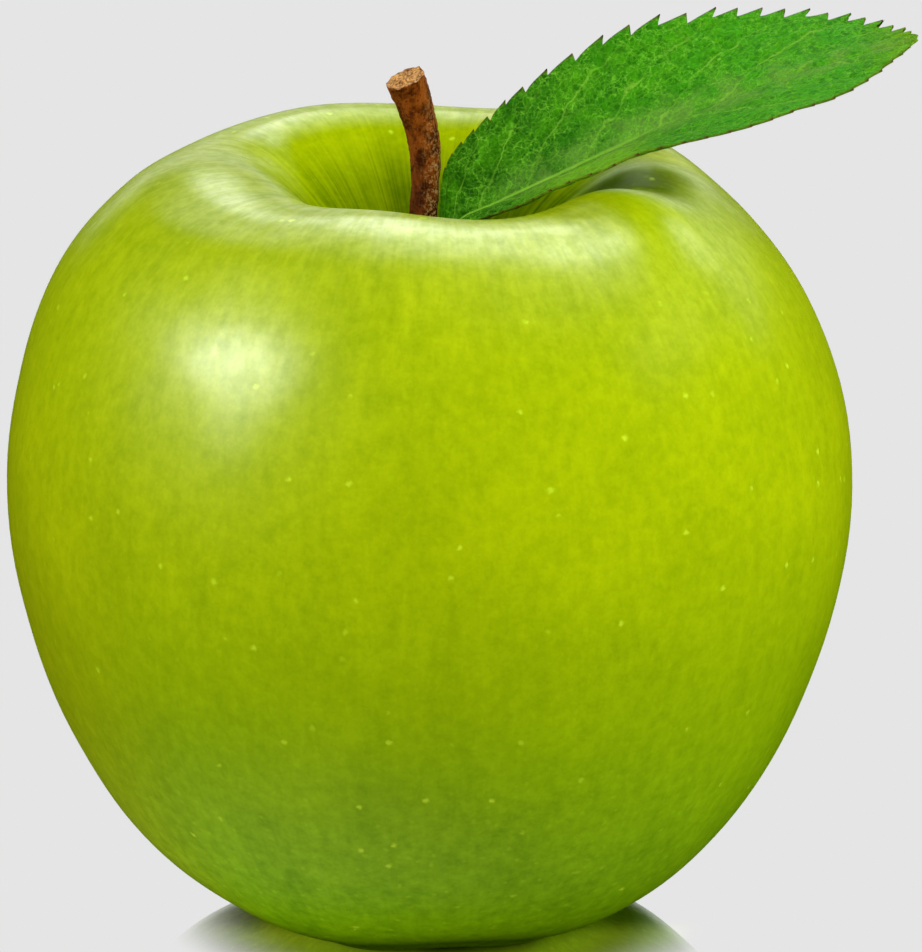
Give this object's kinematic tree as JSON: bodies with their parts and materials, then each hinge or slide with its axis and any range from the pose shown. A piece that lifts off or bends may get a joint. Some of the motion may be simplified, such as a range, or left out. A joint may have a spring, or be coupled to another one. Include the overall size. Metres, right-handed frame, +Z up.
{
  "type": "green apple",
  "caption": "Whole green apple with a bent woody stem, a saw-toothed leaf and a dried calyx, resting on the lobes of its base",
  "frame": {"origin": "on the floor, under the middle of the bounding box, about 2.7 mm from the apple's own axis", "axes": "+Z up along the apple's axis, +X the way the leaf points, -Y towards the viewer of the picture"},
  "size_m": [0.0854, 0.08, 0.088],
  "materials": {
    "apple_skin": "gloss",
    "stem_bark": "matte",
    "leaf_green": "satin",
    "calyx_brown": "matte"
  },
  "bodies": {
    "root": {"fruit": "apple_skin", "stem": "stem_bark", "leaf": "leaf_green", "calyx": "calyx_brown"}
  },
  "joints": []
}
